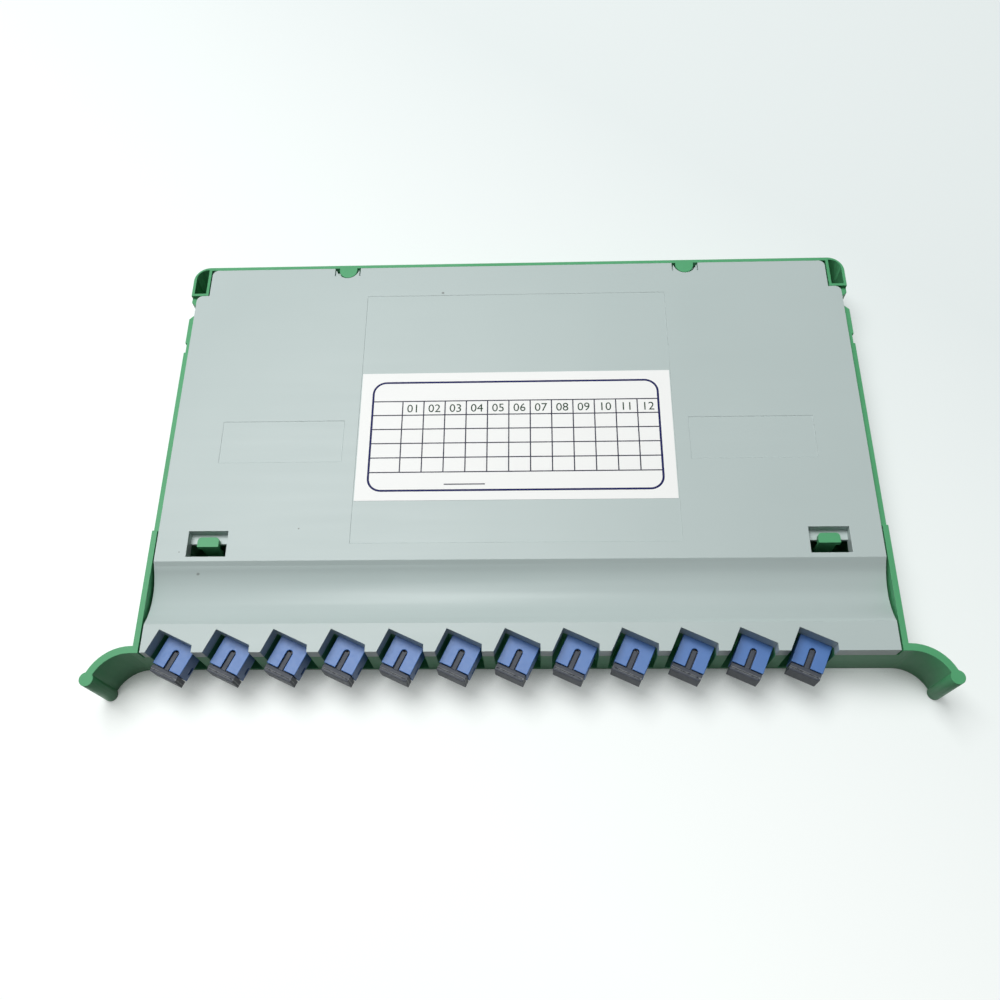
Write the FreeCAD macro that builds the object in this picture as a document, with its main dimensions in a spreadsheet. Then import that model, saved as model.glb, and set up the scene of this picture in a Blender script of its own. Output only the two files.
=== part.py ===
import FreeCAD, Part
import Sketcher
import math
import os
import re

# Fibre patch panel: a slide-in splice and patch tray with a row of slanted SC adapters.
# Frame: X to the right, Y to the rear, Z up, origin under the middle of the whole tray. Millimetres.

SIZES = {
    # Tray moulding
    "tray_width": 325.0,
    "tray_depth": 201.2,
    "front_face": -93.5,
    "floor_thickness": 2.0,
    "side_wall": 2.5,
    "rear_wall": 1.8,
    "front_wall": 1.8,
    "front_height": 20.9,
    "rail_height": 25.6,
    "wall_height": 27.6,
    "step_back": 56.4,
    # Rear corner posts and the fibre entries beside them
    "post_width": 8.6,
    "post_length": 17.2,
    "post_wall": 1.4,
    "post_round": 7.8,
    "hollow_flat": 0.6,
    "entry_wall": 5.0,
    "entry_width": 5.2,
    "entry_taper": 2.4,
    "detent_back": 151.8,
    "detent_length": 5.4,
    "detent_depth": 0.8,
    # Front ears, each a curved plate ending in a bead
    "ear_offset": 0.7,
    "ear_radius": 16.0,
    "ear_thickness": 3.2,
    "ear_sweep": 74.0,
    "bead_radius": 3.0,
    # Row of adapter seats
    "port_count": 12,
    "port_pitch": 24.6,
    "port_tilt": 25.0,
    "first_port": -151.9,
    "port_height": 16.4,
    "notch_length": 11.2,
    "notch_width": 16.4,
    "notch_margin": 5.0,
    "seat_wall": 1.6,
    "adapter_inset": 2.1,
    # SC adapter
    "adapter_width": 13.8,
    "adapter_height": 9.6,
    "adapter_length": 30.8,
    "flange_width": 22.0,
    "flange_thickness": 1.8,
    "bay_width": 9.1,
    "bay_height": 7.5,
    "bay_depth": 12.2,
    "slot_width": 2.8,
    "slot_length": 9.0,
    "slot_sides": 6,
    "vent_length": 3.2,
    "vent_height": 1.4,
    "vent_back": 4.3,
    # Sleeve holder and split sleeve inside each adapter, small tubes with flat sides
    "tube_sides": 8,
    "holder_bore": 3.4,
    "holder_wall": 0.6,
    "holder_length": 15.0,
    "arm_length": 7.0,
    "arm_thickness": 0.9,
    "arm_height": 3.0,
    "arm_spread": 6.2,
    "arm_hook": 0.5,
    "arm_plate": 1.2,
    "sleeve_bore": 2.5,
    "sleeve_outer": 3.2,
    "sleeve_length": 11.4,
    "sleeve_slit": 0.5,
    # Dust cap
    "cap_width": 13.2,
    "cap_height": 9.4,
    "cap_thickness": 3.0,
    "cap_gap": 0.4,
    "cap_plug": 8.6,
    "cap_wall": 0.8,
    "cap_step_depth": 0.7,
    "cap_step_width": 1.2,
    "cap_notch": 0.8,
    "key_width": 2.0,
    "key_drop": 0.6,
    # Cover
    "cover_width": 318.0,
    "cover_top": 28.8,
    "cover_plate": 2.0,
    "cover_skirt": 1.6,
    "skirt_bottom": 23.4,
    "lip_top": 28.3,
    "lip_depth": 12.5,
    "crease_back": 41.0,
    "trough_apex": 18.7,
    "trough_apex_back": 26.75,
    "trough_round": 22.0,
    "slope_plate": 2.45,
    "slope_inset": 0.65,
    "post_gap": 1.0,
    "notch_round": 3.0,
    "rear_gap": 0.9,
    "panel_width": 146.0,
    "panel_front": 49.0,
    "panel_rear": 181.0,
    "relief_depth": 0.25,
    "pocket_inner": 79.6,
    "pocket_outer": 136.4,
    "pocket_front": 89.3,
    "pocket_rear": 110.7,
    # Rear tabs of the tray and the recesses of the cover below them
    "tab_x": 84.2,
    "tab_width": 8.8,
    "tab_reach": 5.6,
    "tab_thickness": 1.6,
    "recess_depth": 4.0,
    "recess_floor": 1.6,
    "recess_gap": 1.2,
    "slit_spread": 6.15,
    "slit_width": 0.5,
    "slit_length": 4.6,
    "slit_depth": 1.5,
    "rear_cut": 1.4,
    # Snap hooks of the tray and the windows of the cover
    "hook_x": 136.3,
    "hook_width": 9.6,
    "hook_back": 48.1,
    "hook_stem": 1.2,
    "hook_overhang": 0.8,
    "hook_head": 4.7,
    "hook_round": 1.8,
    "hook_height": 27.8,
    "hook_play": 0.2,
    "window_width": 17.6,
    "window_front": 43.2,
    "window_depth": 12.1,
    "ledge_depth": 4.7,
    # Fibre spools and splice holder
    "spool_x": 98.0,
    "spool_back": 122.0,
    "spool_radius": 33.0,
    "spool_wall": 1.8,
    "spool_height": 15.0,
    "finger_reach": 9.0,
    "finger_width": 8.0,
    "finger_thickness": 1.5,
    "finger_count": 4,
    "holder_back": 122.0,
    "comb_length": 44.0,
    "comb_base": 1.5,
    "comb_row": 8.0,
    "comb_height": 7.5,
    "comb_rib": 1.2,
    "comb_pitch": 4.4,
    "splice_count": 12,
    "peg_width": 5.0,
    "peg_spread": 12.0,
    # Paper label
    "label_width": 145.0,
    "label_front": 69.5,
    "label_depth": 66.6,
    "label_thickness": 0.15,
    # Sliding clearance of one face
    "fit": 0.1,
}


def make_sheet(doc):
    """Write every driving size to a spreadsheet cell with its alias."""
    sheet = doc.addObject("Spreadsheet::Sheet", "sizes")
    for row, (alias, value) in enumerate(SIZES.items(), start=1):
        sheet.set(f"A{row}", alias)
        sheet.set(f"B{row}", str(value))
        sheet.setAlias(f"B{row}", alias)
    doc.recompute()
    return sheet


def link(formula):
    """Turn a formula of bare size names into one that reads the sheet's cells."""
    return re.sub(r"[a-z_]+", lambda found: f"sizes.{found[0]}" if found[0] in SIZES else found[0], formula)


def bind(feature, **formulas):
    """Bind properties to formulas; a double underscore in a name stands for a dot."""
    for name, formula in formulas.items():
        feature.setExpression(name.replace("__", "."), link(formula))


def base_plane(body, role):
    return next(item for item in body.Origin.OriginFeatures if item.Role == role)


def new_body(label):
    body = DOC.addObject("PartDesign::Body", label)
    body.Label = label
    return body


def sketch_on(body, name, role="XY_Plane", x="0", y="0", level="0", turn="0"):
    """Attach an empty sketch to an origin plane, shifted and turned in that plane."""
    sketch = body.newObject("Sketcher::SketchObject", name)
    sketch.AttachmentSupport = (base_plane(body, role), [""])
    sketch.MapMode = "FlatFace"
    shifts = {"Base__x": x, "Base__y": y, "Base__z": level, "Rotation__Angle": turn}
    for part, formula in shifts.items():
        if formula != "0":
            bind(sketch, **{f"AttachmentOffset__{part}": formula})
    return sketch


def pin(sketch, geometry, point, corner):
    """Hold one point of a sketch at a pair of formulas measured from the sketch's origin."""
    for axis, formula in zip("XY", corner):
        row = sketch.addConstraint(Sketcher.Constraint(f"Distance{axis}", -1, 1, geometry, point, 1.0))
        sketch.setExpression(f"Constraints[{row}]", link(formula))


def polygon(sketch, *corners):
    """Draw a closed outline through corners given as pairs of formulas."""
    count = len(corners)
    first = sketch.GeometryCount
    turns = [2 * math.pi * index / count for index in range(count)]
    ring = [FreeCAD.Vector(math.cos(turn), math.sin(turn), 0) for turn in turns]
    sketch.addGeometry([Part.LineSegment(ring[i - 1], ring[i]) for i in range(count)], False)
    joins = [(first + i, 2, first + (i + 1) % count, 1) for i in range(count)]
    sketch.addConstraint([Sketcher.Constraint("Coincident", *join) for join in joins])
    for index, corner in enumerate(corners):
        pin(sketch, first + index, 1, corner)
    return sketch


def rectangle(sketch, left, right, low, high):
    return polygon(sketch, (left, low), (right, low), (right, high), (left, high))


def circle(sketch, x, y, radius):
    index = sketch.addGeometry(Part.Circle(FreeCAD.Vector(), FreeCAD.Vector(0, 0, 1), 1.0), False)
    pin(sketch, index, 3, (x, y))
    row = sketch.addConstraint(Sketcher.Constraint("Radius", index, 1.0))
    sketch.setExpression(f"Constraints[{row}]", link(radius))
    return sketch


def regular_polygon(sketch, radius):
    """Draw the many-sided outline of a small tube about the sketch's origin."""
    turns = [f"{side} * 360 / tube_sides" for side in range(int(SIZES["tube_sides"]))]
    return polygon(sketch, *((f"({radius}) * cos({turn})", f"({radius}) * sin({turn})") for turn in turns))


def extrude(kind, sketch, length, midplane, reverse):
    """Pad or cut a sketch; faces are merged once, by finish()."""
    feature = sketch.getParentGeoFeatureGroup().newObject(f"PartDesign::{kind}", f"{sketch.Name}_{kind}")
    feature.Profile = sketch
    feature.Midplane = midplane
    feature.Reversed = reverse
    feature.Refine = False
    bind(feature, Length=length)
    return feature


def pad(sketch, length, midplane=False, reverse=False):
    return extrude("Pad", sketch, length, midplane, reverse)


def pocket(sketch, length, midplane=False, reverse=False):
    return extrude("Pocket", sketch, length, midplane, reverse)


def finish(body):
    """Merge the coplanar faces of a finished body."""
    body.Tip.Refine = True
    return body


def row_of_ports(body, name, originals):
    """Repeat features along X, once for each adapter."""
    pattern = body.newObject("PartDesign::LinearPattern", name)
    pattern.Originals = originals
    pattern.Refine = False
    pattern.Direction = (base_plane(body, "YZ_Plane"), [""])
    bind(pattern, Length="(port_count - 1) * port_pitch", Occurrences="port_count")
    body.Tip = pattern
    return pattern


def round_edges(body, name, radius, chosen):
    """Fillet the edges of the body's tip whose two ends satisfy a test."""
    DOC.recompute()
    base = body.Tip
    names = []
    for number, edge in enumerate(base.Shape.Edges, start=1):
        if len(edge.Vertexes) == 2 and all(chosen(vertex.Point) for vertex in edge.Vertexes):
            names.append(f"Edge{number}")
    fillet = body.newObject("PartDesign::Fillet", name)
    fillet.Base = (base, names)
    fillet.Refine = False
    bind(fillet, Radius=radius)
    return fillet


def near(value, target):
    return abs(value - target) < 0.01


# Formulas shared by several sub-parts
HALF = "tray_width / 2"
INNER = "(tray_width / 2 - side_wall)"
REAR = "(front_face + tray_depth)"
REAR_INNER = "(front_face + tray_depth - rear_wall)"
POST_FRONT = "(front_face + tray_depth - post_length)"
POST_INNER = "(tray_width / 2 - post_width)"
LEDGE = "(cover_top - recess_depth)"
RECESS_BOTTOM = "(cover_top - recess_depth - recess_floor)"
UNDER_PLATE = "(cover_top - cover_plate)"
COVER_REAR = "(front_face + tray_depth - rear_wall - rear_gap)"
NOTCH_Y = "(front_face + notch_length * cos(port_tilt))"
AXIS_U = "(adapter_inset + adapter_width / 2)"
HALF_BODY = "(adapter_width / 2 + fit)"
AXIS_V = "(seat_wall + fit + flange_thickness / 2)"
SEAT_DEPTH = "(2 * seat_wall + flange_thickness + 2 * fit)"
SIDES = {"left": "-1", "right": "1"}


def notch_outline(sketch):
    """Outline that the adapter's notch takes out of the wall and the lip, in the slanted frame."""
    run = "(notch_length * cos(port_tilt) - notch_width * sin(port_tilt) + notch_margin)"
    polygon(
        sketch,
        ("0", "0"),
        ("0", "-1 * notch_length - notch_margin"),
        (f"notch_width + {run} * sin(port_tilt)", f"-1 * {run} * cos(port_tilt)"),
        ("notch_width", "0"),
    )
    return sketch


def slanted(body, name, level):
    """Sketch whose origin is the first notch's inner corner and whose Y runs along the adapter."""
    return sketch_on(body, name, x="first_port", y=NOTCH_Y, level=level, turn="-1 * port_tilt")


def frame_outline(sketch, wall, back):
    """Wall that follows the notch: its left side, a back part and its right side."""
    tangent = "tan(port_tilt)"
    run = (f"(notch_length * cos(port_tilt) - (notch_width + {wall}) * sin(port_tilt)"
           f" + {back} * cos(port_tilt))")
    polygon(
        sketch,
        (f"-1 * {wall}", f"-1 * notch_length - {wall} * {tangent}"),
        (f"-1 * {wall}", back),
        (f"notch_width + {wall}", back),
        (f"notch_width + {wall} + {run} * sin(port_tilt)", f"{back} - {run} * cos(port_tilt)"),
    )
    return sketch


def build_tray():
    body = new_body("tray")
    build_tray_walls(body)
    for side, sign in SIDES.items():
        build_corner_post(body, side, sign)
        build_ear(body, side, sign)
        build_rear_tab(body, side, sign)
        build_hook(body, side, sign)
        build_spool(body, side, sign)
        peg = sketch_on(body, f"peg_{side}", x=f"{sign} * peg_spread", y="front_face + holder_back")
        pad(centred(peg, "peg_width", "peg_width"), "floor_thickness + comb_base")
    build_adapter_seats(body)
    return finish(body)


def build_tray_walls(body):
    """Open box: floor, side walls with a raised front stretch, rear wall and a lower front wall."""
    block = rectangle(sketch_on(body, "block"), f"-1 * {HALF}", HALF, "front_face", REAR)
    pad(block, "wall_height")
    inside = rectangle(sketch_on(body, "inside", level="wall_height"), f"-1 * {INNER}", INNER,
                       "front_face + front_wall", REAR_INNER)
    pocket(inside, "wall_height - floor_thickness")
    front = rectangle(sketch_on(body, "front_top", level="wall_height"), f"-1 * {INNER}", INNER,
                      "front_face - notch_margin", "front_face + front_wall")
    pocket(front, "wall_height - front_height")
    for side, sign in SIDES.items():
        rail = rectangle(sketch_on(body, f"rail_{side}", level="wall_height"), f"{sign} * {INNER}",
                         f"{sign} * ({HALF})", "front_face + step_back", POST_FRONT)
        pocket(rail, "wall_height - rail_height")
        near_end = f"{POST_FRONT} - entry_wall - entry_width"
        entry = polygon(
            sketch_on(body, f"entry_{side}", level="rail_height"),
            (f"{sign} * {INNER}", near_end),
            (f"{sign} * {HALF}", f"{near_end} - entry_taper"),
            (f"{sign} * {HALF}", f"{POST_FRONT} - entry_wall + entry_taper"),
            (f"{sign} * {INNER}", f"{POST_FRONT} - entry_wall"),
       )
        pocket(entry, "rail_height - floor_thickness")
        detent = rectangle(
            sketch_on(body, f"detent_{side}", level="rail_height"),
            f"{sign} * ({HALF} - detent_depth)", f"{sign} * {HALF}",
            "front_face + detent_back", "front_face + detent_back + detent_length",
       )
        pocket(detent, "rail_height - floor_thickness")


def build_adapter_seats(body):
    """Zigzag front wall: each adapter drops into a slot across its slanted axis."""
    reach = "(flange_width / 2 + fit)"
    notch_wall = frame_outline(slanted(body, "notch_wall", "0"), "seat_wall", "seat_wall")
    seat = rectangle(slanted(body, "seat", "0"), f"{AXIS_U} - {reach} - seat_wall",
                     f"{AXIS_U} + {reach} + seat_wall", "0", SEAT_DEPTH)
    notch = notch_outline(slanted(body, "seat_notch", "front_height"))
    cradle = rectangle(slanted(body, "cradle", "front_height"), f"{AXIS_U} - {HALF_BODY}",
                       f"{AXIS_U} + {HALF_BODY}", "-1 * fit", f"{SEAT_DEPTH} + fit")
    groove = rectangle(slanted(body, "flange_groove", "front_height"), f"{AXIS_U} - {reach}",
                       f"{AXIS_U} + {reach}", "seat_wall", "seat_wall + flange_thickness + 2 * fit")
    adapter_depth = "front_height - port_height + adapter_height / 2"
    features = [
        pad(notch_wall, "front_height"),
        pad(seat, "front_height"),
        pocket(notch, "front_height - floor_thickness"),
        pocket(cradle, adapter_depth),
        pocket(groove, adapter_depth),
    ]
    row_of_ports(body, "seat_row", features)


def build_corner_post(body, side, sign):
    """Hollow post that closes a rear corner and stops the tray in its rack."""
    post = rectangle(sketch_on(body, f"post_{side}"), f"{sign} * {POST_INNER}", f"{sign} * {HALF}",
                     POST_FRONT, REAR)
    pad(post, "wall_height")
    hollow = rectangle(
        sketch_on(body, f"post_hollow_{side}", level="wall_height"),
        f"{sign} * ({POST_INNER} + post_wall)", f"{sign} * ({HALF} - post_wall)",
        f"{POST_FRONT} + post_wall", f"{REAR} - post_wall",
    )
    pocket(hollow, "wall_height - floor_thickness")
    edge_x = SIZES["tray_width"] / 2
    rear = SIZES["front_face"] + SIZES["tray_depth"]
    hollow_round = "post_width - 2 * post_wall - hollow_flat"
    for name, wall, radius in (("hollow", SIZES["post_wall"], hollow_round), ("post", 0, "post_round")):
        round_edges(body, f"{name}_round_{side}", radius,
                    lambda point: near(point.x, float(sign) * (edge_x - wall)) and near(point.y, rear - wall))


def build_ear(body, side, sign):
    """Finger ear: a plate swept forwards and outwards from the wall, with a bead at its end."""
    centre_x = f"{sign} * ({HALF} + ear_offset)"
    centre_y = "(front_face - ear_radius)"
    plate = rectangle(
        sketch_on(body, f"ear_{side}", "YZ_Plane", x=centre_y, level=centre_x),
        "ear_radius", "ear_radius + ear_thickness", "0", "wall_height",
    )
    sweep = body.newObject("PartDesign::Revolution", f"ear_{side}_sweep")
    sweep.Profile = plate
    sweep.ReferenceAxis = (plate, ["V_Axis"])
    sweep.Reversed = side == "right"
    bind(sweep, Angle="ear_sweep")
    root = rectangle(sketch_on(body, f"ear_root_{side}"), f"{sign} * {INNER}", centre_x, "front_face",
                     "front_face + ear_thickness")
    pad(root, "wall_height")
    middle = "(ear_radius + ear_thickness / 2)"
    bead = circle(sketch_on(body, f"bead_{side}"), f"{centre_x} + {sign} * {middle} * sin(ear_sweep)",
                  f"{centre_y} + {middle} * cos(ear_sweep)", "bead_radius")
    pad(bead, "wall_height")


def build_rear_tab(body, side, sign):
    """Half-round tab over the cover's rear edge, and the rib that the edge rests on."""
    left = f"{sign} * tab_x - tab_width / 2"
    right = f"{sign} * tab_x + tab_width / 2"
    root = f"{REAR_INNER} - tab_reach + tab_width / 2"
    under = "wall_height - tab_thickness"
    stem = rectangle(sketch_on(body, f"tab_{side}", level=under), left, right, root, REAR_INNER)
    pad(stem, "tab_thickness")
    nose = rectangle(
        sketch_on(body, f"tab_nose_{side}", "XZ_Plane", x=f"{sign} * tab_x", level=f"-1 * ({root})"),
        "0", "tab_width / 2", under, "wall_height",
    )
    half_turn = body.newObject("PartDesign::Revolution", f"tab_nose_{side}_turn")
    half_turn.Profile = nose
    half_turn.ReferenceAxis = (nose, ["V_Axis"])
    half_turn.Reversed = True
    half_turn.Refine = False
    half_turn.Angle = 180
    rib = rectangle(sketch_on(body, f"tab_rib_{side}"), left, right, f"{REAR_INNER} - tab_reach", REAR_INNER)
    pad(rib, RECESS_BOTTOM)


def build_hook(body, side, sign):
    """Springy finger with a wider, rounded head that holds the ledge in the cover's window."""
    left = f"{sign} * hook_x - hook_width / 2"
    right = f"{sign} * hook_x + hook_width / 2"
    front = "(front_face + hook_back)"
    stem_front = f"({front} + hook_overhang)"
    stem = rectangle(
        sketch_on(body, f"hook_stem_{side}"), f"{left} + hook_overhang", f"{right} - hook_overhang",
        stem_front, f"{stem_front} + hook_stem",
    )
    pad(stem, "hook_height")
    under = f"({LEDGE} + hook_play)"
    head = rectangle(sketch_on(body, f"hook_head_{side}", level=under), left, right, front,
                     f"{front} + hook_head")
    pad(head, f"hook_height - {under}")
    rear_y = SIZES["front_face"] + SIZES["hook_back"] + SIZES["hook_head"]
    for end, way in SIDES.items():
        end_x = float(sign) * SIZES["hook_x"] + float(way) * SIZES["hook_width"] / 2
        round_edges(body, f"hook_{side}_{end}_round", "hook_round",
                    lambda point: near(point.y, rear_y) and near(point.x, end_x))


def build_spool(body, side, sign):
    """Ring that keeps the fibre's bend radius, with fingers that hold the coil down."""
    centre = {"x": f"{sign} * spool_x", "y": "front_face + spool_back"}
    ring = sketch_on(body, f"spool_{side}", **centre)
    circle(ring, "0", "0", "spool_radius")
    circle(ring, "0", "0", "spool_radius - spool_wall")
    pad(ring, "floor_thickness + spool_height")
    finger_under = "floor_thickness + spool_height - finger_thickness"
    finger = rectangle(
        sketch_on(body, f"finger_{side}", level=finger_under, **centre),
        "spool_radius - spool_wall / 2", "spool_radius + finger_reach", "-1 * finger_width / 2",
        "finger_width / 2",
    )
    first_finger = pad(finger, "finger_thickness")
    fingers = body.newObject("PartDesign::PolarPattern", f"fingers_{side}")
    fingers.Originals = [first_finger]
    fingers.Refine = False
    fingers.Axis = (finger, ["N_Axis"])
    bind(fingers, Angle="360", Occurrences="finger_count")
    body.Tip = fingers


def build_cover():
    body = new_body("cover")
    build_cover_section(body)
    build_cover_edges(body)
    for side, sign in SIDES.items():
        build_tab_recess(body, side, sign)
        build_window(body, side, sign)
    build_reliefs(body)
    build_port_notches(body)
    return finish(body)


def build_cover_section(body):
    """Plate, trough, lip and front apron as one profile across the whole width."""
    section = polygon(
        sketch_on(body, "section", "YZ_Plane"),
        (COVER_REAR, "cover_top"),
        ("front_face + crease_back", "cover_top"),
        ("front_face + trough_apex_back", "trough_apex"),
        ("front_face + lip_depth", "lip_top"),
        ("front_face", "lip_top"),
        ("front_face", "front_height"),
        ("front_face + front_wall", "front_height"),
        ("front_face + front_wall", "lip_top - cover_plate"),
        ("front_face + lip_depth - slope_inset", "lip_top - cover_plate"),
        ("front_face + trough_apex_back", "trough_apex - slope_plate"),
        ("front_face + crease_back + slope_inset", UNDER_PLATE),
        (COVER_REAR, UNDER_PLATE),
    )
    pad(section, "cover_width", midplane=True)
    round_edges(body, "trough_floor_round", "trough_round",
                lambda point: near(point.z, SIZES["trough_apex"]))
    round_edges(body, "trough_under_round", "trough_round + cover_plate",
                lambda point: near(point.z, SIZES["trough_apex"] - SIZES["slope_plate"]))


def build_cover_edges(body):
    """Rounded notches beside the rear posts, and side skirts."""
    edge = "cover_width / 2"
    notch_front = f"({POST_FRONT} - post_gap)"
    rear = SIZES["front_face"] + SIZES["tray_depth"]
    notch_y = rear - SIZES["post_length"] - SIZES["post_gap"]
    rear_y = rear - SIZES["rear_wall"] - SIZES["rear_gap"]
    notch_x = SIZES["tray_width"] / 2 - SIZES["post_width"] - SIZES["post_gap"]
    for side, sign in SIDES.items():
        notch = rectangle(
            sketch_on(body, f"post_notch_{side}", level="cover_top"),
            f"{sign} * ({POST_INNER} - post_gap)", f"{sign} * {HALF}", notch_front, REAR,
        )
        pocket(notch, "cover_top")
        corners = [(float(sign) * SIZES["cover_width"] / 2, notch_y), (float(sign) * notch_x, rear_y)]
        round_edges(body, f"cover_corners_{side}", "notch_round",
                    lambda point: any(near(point.x, x) and near(point.y, y) for x, y in corners))
        skirt = rectangle(
            sketch_on(body, f"skirt_{side}", level="skirt_bottom"),
            f"{sign} * ({edge} - cover_skirt)", f"{sign} * {edge}",
            "front_face + crease_back + cover_plate", f"{notch_front} - notch_round",
        )
        pad(skirt, f"{UNDER_PLATE} - skirt_bottom")


def build_tab_recess(body, side, sign):
    """Landing sunk under a rear tab in the tab's own outline, between two slits."""
    middle = f"{sign} * tab_x"
    half = "(tab_width / 2 + recess_gap)"
    nose = f"({REAR_INNER} - tab_reach + tab_width / 2)"
    box = rectangle(
        sketch_on(body, f"landing_{side}", level=RECESS_BOTTOM),
        f"{middle} - {half} - cover_skirt", f"{middle} + {half} + cover_skirt",
        f"{nose} - {half} - cover_skirt", COVER_REAR,
    )
    pad(box, f"{UNDER_PLATE} - {RECESS_BOTTOM}")
    stem_cut = rectangle(sketch_on(body, f"stem_cut_{side}", level="cover_top"), f"{middle} - {half}",
                         f"{middle} + {half}", nose, REAR)
    pocket(stem_cut, "recess_depth")
    nose_cut = circle(sketch_on(body, f"nose_cut_{side}", level="cover_top"), middle, nose, half)
    pocket(nose_cut, "recess_depth")
    slit_reach = "(slit_spread + slit_width / 2)"
    rear_cut = rectangle(sketch_on(body, f"rear_cut_{side}", level="cover_top"), f"{middle} - {slit_reach}",
                         f"{middle} + {slit_reach}", f"{COVER_REAR} - rear_cut", REAR)
    pocket(rear_cut, "recess_depth")
    slits = sketch_on(body, f"slits_{side}", level="cover_top")
    for way in SIDES.values():
        centre = f"{middle} + {way} * slit_spread"
        rectangle(slits, f"{centre} - slit_width / 2", f"{centre} + slit_width / 2",
                  f"{COVER_REAR} - slit_length", REAR)
    pocket(slits, "slit_depth")


def build_window(body, side, sign):
    """Window with a sunk ledge for the hook's head and an open front half for its stem."""
    left = f"{sign} * hook_x - window_width / 2"
    right = f"{sign} * hook_x + window_width / 2"
    front = "(front_face + window_front)"
    rear = f"({front} + window_depth)"
    box = rectangle(
        sketch_on(body, f"window_{side}", level=RECESS_BOTTOM),
        f"{left} - cover_skirt", f"{right} + cover_skirt",
        "front_face + crease_back + slope_inset", f"{rear} + cover_skirt",
    )
    pad(box, f"{UNDER_PLATE} - {RECESS_BOTTOM}")
    well = rectangle(sketch_on(body, f"window_well_{side}", level="cover_top"), left, right, front, rear)
    pocket(well, "recess_depth")
    hole = rectangle(sketch_on(body, f"window_hole_{side}", level="cover_top"), left, right, front,
                     f"{rear} - ledge_depth")
    pocket(hole, "cover_top")


def build_port_notches(body):
    """Notches over the adapters, each with a wall that stands on the tray's zigzag wall."""
    frame = frame_outline(slanted(body, "port_frame", "front_height"), "seat_wall", "seat_wall")
    notch = notch_outline(slanted(body, "port_notch", "cover_top"))
    adapter_top = "port_height + adapter_height / 2 + fit"
    relief = rectangle(slanted(body, "adapter_relief", adapter_top), f"{AXIS_U} - {HALF_BODY}",
                       f"{AXIS_U} + {HALF_BODY}", "-1 * fit", "seat_wall + fit")
    row_of_ports(body, "port_row", [pad(frame, "lip_top - front_height - cover_plate / 2"),
                                    pocket(notch, "cover_top"),
                                    pocket(relief, f"{adapter_top} - front_height + fit")])


def build_reliefs(body):
    """Shallow panel for the label and a shallow pocket at each side of it."""
    panel = rectangle(sketch_on(body, "panel", level="cover_top"), "-1 * panel_width / 2", "panel_width / 2",
                      "front_face + panel_front", "front_face + panel_rear")
    pocket(panel, "relief_depth")
    for side, sign in SIDES.items():
        relief = rectangle(
            sketch_on(body, f"relief_{side}", level="cover_top"),
            f"{sign} * pocket_inner", f"{sign} * pocket_outer",
            "front_face + pocket_front", "front_face + pocket_rear",
       )
        pocket(relief, "relief_depth")


def build_label():
    label = DOC.addObject("Part::Box", "label")
    label.Label = "label"
    bind(label, Length="label_width", Width="label_depth", Height="label_thickness",
         Placement__Base__x="-1 * label_width / 2", Placement__Base__y="front_face + label_front",
         Placement__Base__z="cover_top - relief_depth")
    return label


def build_splice_holder():
    """Comb of ribs whose grooves take the splice protection sleeves."""
    body = new_body("splice_holder")
    bind(body, Placement__Base__y="front_face + holder_back", Placement__Base__z="floor_thickness")
    width = "(splice_count * comb_pitch + comb_rib)"
    base = rectangle(sketch_on(body, "comb_base_plate"), "-1 * comb_length / 2", "comb_length / 2",
                     f"-1 * {width} / 2", f"{width} / 2")
    pad(base, "comb_base")
    rib = sketch_on(body, "comb_ribs")
    for sign in SIDES.values():
        rectangle(rib, f"{sign} * (comb_length / 2 - comb_row)", f"{sign} * comb_length / 2",
                  f"-1 * {width} / 2", f"-1 * {width} / 2 + comb_rib")
    first_ribs = pad(rib, "comb_height")
    ribs = body.newObject("PartDesign::LinearPattern", "comb_rows")
    ribs.Originals = [first_ribs]
    ribs.Direction = (base_plane(body, "XZ_Plane"), [""])
    ribs.Reversed = True
    bind(ribs, Length="splice_count * comb_pitch", Occurrences="splice_count + 1")
    body.Tip = ribs
    for side, sign in SIDES.items():
        hole = sketch_on(body, f"comb_hole_{side}", x=f"{sign} * peg_spread", level="comb_base")
        pocket(centred(hole, "(peg_width + 2 * fit)", "(peg_width + 2 * fit)"), "comb_base")
    return finish(body)


def place_at_port(feature, index):
    """Put an adapter, or a piece that shares its frame, at one port of the row."""
    bind(
        feature,
        Placement__Base__x=(f"first_port + {index} * port_pitch + {AXIS_U} * cos(port_tilt)"
                            f" + {AXIS_V} * sin(port_tilt)"),
        Placement__Base__y=f"{NOTCH_Y} - {AXIS_U} * sin(port_tilt) + {AXIS_V} * cos(port_tilt)",
        Placement__Base__z="port_height",
        Placement__Rotation__Angle="-1 * port_tilt",
    )


def centred(sketch, width, height):
    return rectangle(sketch, f"-1 * {width} / 2", f"{width} / 2", f"-1 * {height} / 2", f"{height} / 2")


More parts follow.
